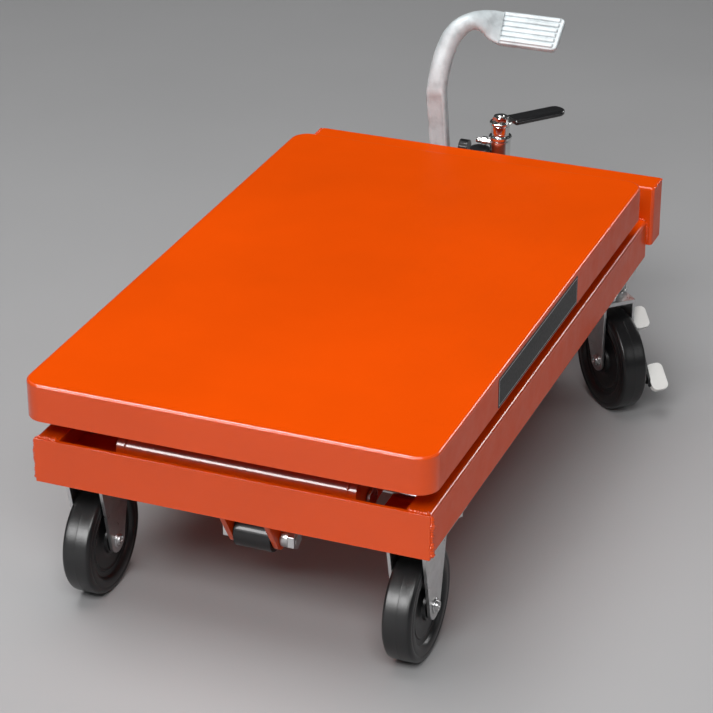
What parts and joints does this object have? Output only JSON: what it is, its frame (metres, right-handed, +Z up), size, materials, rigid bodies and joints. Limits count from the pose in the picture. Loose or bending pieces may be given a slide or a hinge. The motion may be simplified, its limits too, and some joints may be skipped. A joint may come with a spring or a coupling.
{
  "type": "scissor lift table",
  "caption": "Foot-pumped hydraulic scissor lift table with a flat skirted top on a channel frame, rigid castors in front and braked swivel castors behind.",
  "frame": {"origin": "on the floor, under the middle of the overall length and width with the table down", "axes": "+X to the right seen from the front end, +Y along the table from its front end towards the pedal, +Z up"},
  "size_m": [0.5666, 0.95, 0.4049],
  "materials": {
    "orange_paint": "smooth glossy orange powder coat with soft gloss highlights",
    "zinc": "bright zinc plate, slightly cloudy",
    "bright_steel": "turned bright steel",
    "chrome": "polished plated metal",
    "cast_silver": "silver paint over a fine cast grain",
    "black_paint": "semi-gloss black enamel",
    "rubber": "black moulded rubber, satin",
    "white_plastic": "off-white moulded plastic",
    "black_vinyl": "glossy black dipped vinyl"
  },
  "bodies": {
    "base": {"side_rail_left": "orange_paint", "side_rail_right": "orange_paint", "front_crossmember": "orange_paint", "rear_beam": "orange_paint", "castor_mounts": "orange_paint", "cylinder_bracket": "orange_paint", "cylinder_pin": "zinc", "pivot_brackets": "orange_paint", "pivot_pins": "bright_steel", "front_fork_left": "zinc", "front_fork_right": "zinc", "front_axles": "zinc", "frame_bolts": "zinc", "swivel_plates": "zinc", "pressure_pipe": "bright_steel", "pipe_clips": "zinc", "pump_body": "black_paint", "filler_cap": "black_paint", "plunger_gland": "chrome", "pedal_bracket": "orange_paint", "valve_body": "chrome", "plunger_spring": "bright_steel"},
    "inner_arms": {"inner_arm_left": "orange_paint", "inner_arm_right": "orange_paint", "front_tie_tube": "orange_paint", "lift_crossbar": "orange_paint", "upper_roller_pins": "bright_steel", "centre_pins": "bright_steel"},
    "outer_arms": {"outer_arm_left": "orange_paint", "outer_arm_right": "orange_paint", "lower_roller_shaft": "bright_steel"},
    "table": {"table_top": "orange_paint", "upper_tracks": "orange_paint", "table_pivot_brackets": "orange_paint", "table_pivot_pins": "bright_steel"},
    "upper_roller_l": {"upper_roller_left": "bright_steel"},
    "upper_roller_r": {"upper_roller_right": "bright_steel"},
    "lower_roller_l": {"lower_roller_left": "bright_steel"},
    "lower_roller_r": {"lower_roller_right": "bright_steel"},
    "cylinder": {"cylinder_barrel": "black_paint", "cylinder_gland": "chrome"},
    "ram": {"ram": "chrome"},
    "front_wheel_l": {"front_wheel_left": "rubber"},
    "front_wheel_r": {"front_wheel_right": "rubber"},
    "rear_castor_l": {"rear_fork_left": "zinc", "rear_axle_left": "zinc"},
    "rear_castor_r": {"rear_fork_right": "zinc", "rear_axle_right": "zinc"},
    "rear_wheel_l": {"rear_wheel_left": "rubber"},
    "rear_wheel_r": {"rear_wheel_right": "rubber"},
    "brake_l": {"brake_lever_left": "black_paint", "brake_pads_left": "white_plastic"},
    "brake_r": {"brake_lever_right": "black_paint", "brake_pads_right": "white_plastic"},
    "pedal": {"pedal_lever": "cast_silver", "pedal_shaft": "black_paint"},
    "plunger": {"plunger": "chrome"},
    "valve_handle": {"valve_lever": "chrome", "valve_grip": "black_vinyl"}
  },
  "joints": [
    {"name": "scissor_lift", "type": "hinge", "parent": "base", "child": "inner_arms", "pos_m": [0, -0.409, 0.182], "axis": [1, 0, 0], "range_deg": [0, 52]},
    {"name": "scissor_cross", "type": "hinge", "parent": "inner_arms", "child": "outer_arms", "pos_m": [0, -0.097, 0.2175], "axis": [1, 0, 0], "range_deg": [-104, 0]},
    {"name": "table_level", "type": "hinge", "parent": "outer_arms", "child": "table", "pos_m": [0, -0.409, 0.253], "axis": [1, 0, 0], "range_deg": [0, 52]},
    {"name": "upper_roller_l_spin", "type": "hinge", "parent": "inner_arms", "child": "upper_roller_l", "pos_m": [-0.142, 0.215, 0.253], "axis": [1, 0, 0], "continuous": true},
    {"name": "upper_roller_r_spin", "type": "hinge", "parent": "inner_arms", "child": "upper_roller_r", "pos_m": [0.142, 0.215, 0.253], "axis": [1, 0, 0], "continuous": true},
    {"name": "lower_roller_l_spin", "type": "hinge", "parent": "outer_arms", "child": "lower_roller_l", "pos_m": [-0.203, 0.215, 0.182], "axis": [1, 0, 0], "continuous": true},
    {"name": "lower_roller_r_spin", "type": "hinge", "parent": "outer_arms", "child": "lower_roller_r", "pos_m": [0.203, 0.215, 0.182], "axis": [1, 0, 0], "continuous": true},
    {"name": "cylinder_swing", "type": "hinge", "parent": "base", "child": "cylinder", "pos_m": [0, -0.387, 0.102], "axis": [1, 0, 0], "range_deg": [0, 46]},
    {"name": "ram_extend", "type": "slide", "parent": "cylinder", "child": "ram", "axis": [0, 0.9075, 0.4201], "range_m": [0, 0.063]},
    {"name": "front_wheel_l_spin", "type": "hinge", "parent": "base", "child": "front_wheel_l", "pos_m": [-0.181, -0.397, 0.0625], "axis": [1, 0, 0], "continuous": true},
    {"name": "front_wheel_r_spin", "type": "hinge", "parent": "base", "child": "front_wheel_r", "pos_m": [0.181, -0.397, 0.0625], "axis": [1, 0, 0], "continuous": true},
    {"name": "rear_castor_l_swivel", "type": "hinge", "parent": "base", "child": "rear_castor_l", "pos_m": [-0.181, 0.24, 0.1], "axis": [0, 0, 1], "continuous": true},
    {"name": "rear_wheel_l_spin", "type": "hinge", "parent": "rear_castor_l", "child": "rear_wheel_l", "pos_m": [-0.20787, 0.21313, 0.0625], "axis": [-0.7071, 0.7071, 0], "continuous": true},
    {"name": "brake_l_press", "type": "hinge", "parent": "rear_castor_l", "child": "brake_l", "pos_m": [-0.22626, 0.19475, 0.0785], "axis": [0.7071, -0.7071, 0], "range_deg": [0, 12]},
    {"name": "rear_castor_r_swivel", "type": "hinge", "parent": "base", "child": "rear_castor_r", "pos_m": [0.181, 0.24, 0.1], "axis": [0, 0, 1], "continuous": true},
    {"name": "rear_wheel_r_spin", "type": "hinge", "parent": "rear_castor_r", "child": "rear_wheel_r", "pos_m": [0.20787, 0.21313, 0.0625], "axis": [0.7071, 0.7071, 0], "continuous": true},
    {"name": "brake_r_press", "type": "hinge", "parent": "rear_castor_r", "child": "brake_r", "pos_m": [0.22626, 0.19475, 0.0785], "axis": [0.7071, 0.7071, 0], "range_deg": [0, 12]},
    {"name": "pedal_press", "type": "hinge", "parent": "base", "child": "pedal", "pos_m": [0, 0.383, 0.215], "axis": [-1, 0, 0], "range_deg": [0, 35], "stiffness_Nm_per_rad": 2, "springref_deg": -34.38},
    {"name": "plunger_stroke", "type": "slide", "parent": "base", "child": "plunger", "axis": [0, 0, -1], "range_m": [0, 0.016], "deforming": ["plunger_spring"]},
    {"name": "valve_turn", "type": "hinge", "parent": "base", "child": "valve_handle", "pos_m": [0.006, 0.37, 0.2815], "axis": [0, 0, 1], "range_deg": [0, 90]}
  ],
  "couplings": [
    {"joint": "scissor_cross", "follows": "scissor_lift", "ratio": -2},
    {"joint": "table_level", "follows": "scissor_lift", "ratio": 1},
    {"joint": "cylinder_swing", "follows": "scissor_lift", "ratio": 0.868},
    {"joint": "ram_extend", "follows": "scissor_lift", "m_per_rad": 0.0684},
    {"joint": "plunger_stroke", "follows": "pedal_press", "m_per_rad": 0.025379}
  ]
}
